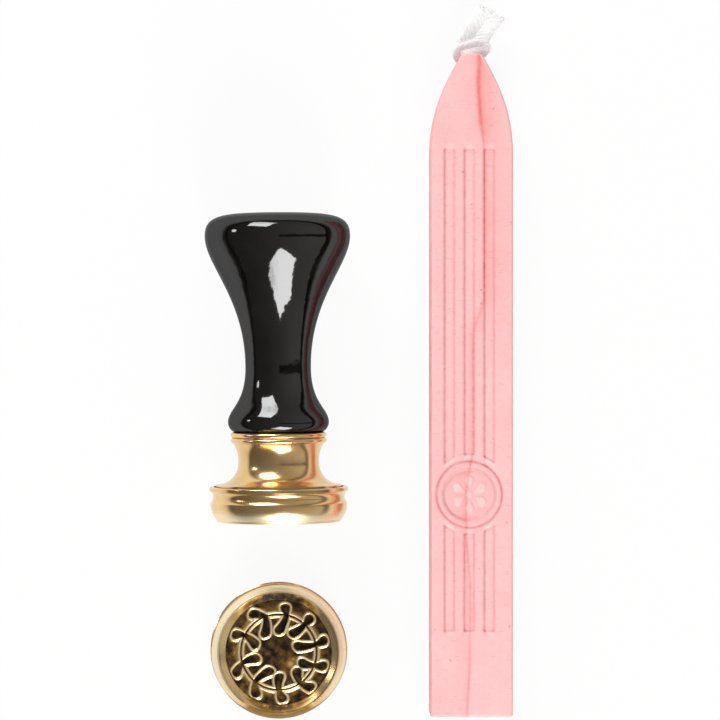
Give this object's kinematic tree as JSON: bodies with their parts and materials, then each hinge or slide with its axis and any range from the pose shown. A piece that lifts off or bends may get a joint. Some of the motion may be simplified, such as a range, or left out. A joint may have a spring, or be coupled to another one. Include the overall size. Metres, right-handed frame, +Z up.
{
  "type": "wax sealing set",
  "caption": "Wax sealing set laid flat: a wood-handled stamp with a screw-on brass seal, a spare seal head and a fluted stick of wax with a wick.",
  "frame": {"origin": "centre of the set's bounding box, on the surface that it lies on", "axes": "+Y runs from the stick's base to its wick, +Z is up, +X is to the right with the stamp on the left and the stick on the right"},
  "size_m": [0.0566, 0.1326, 0.0266],
  "materials": {
    "lacquered_wood": "gloss black lacquer over turned hardwood",
    "polished_brass": "polished, with a dark antique patina in the engraved field",
    "turned_brass": "as turned",
    "zinc_steel": "bright zinc plate",
    "sealing_wax": "satin moulded wax",
    "cotton": "bleached braided cotton"
  },
  "bodies": {
    "stamp": {"handle": "lacquered_wood", "handle_insert": "turned_brass", "stud": "zinc_steel", "seal_neck": "polished_brass"},
    "washer": {"lock_washer": "zinc_steel"},
    "die": {"seal_die": "polished_brass"},
    "spare": {"spare_die": "polished_brass"},
    "wax": {"wax_stick": "sealing_wax", "wick": "cotton"}
  },
  "joints": [
    {"name": "die_advance", "type": "slide", "parent": "stamp", "child": "washer", "axis": [0.0054, -0.9999, -0.0129], "range_m": [0, 0.00316]},
    {"name": "die_unscrew", "type": "hinge", "parent": "washer", "child": "die", "pos_m": [-0.01474, -0.02694, 0.01265], "axis": [0.0054, -0.9999, -0.0129], "range_deg": [0, 1134]},
    {"name": "spare_lift", "type": "slide", "parent": "stamp", "child": "spare", "axis": [0, 0, 1], "range_m": [0, 0.05]},
    {"name": "wax_lift", "type": "slide", "parent": "stamp", "child": "wax", "axis": [0, 0, 1], "range_m": [0, 0.05]}
  ],
  "couplings": [
    {"joint": "die_advance", "follows": "die_unscrew", "m_per_rad": 0.00015915}
  ]
}
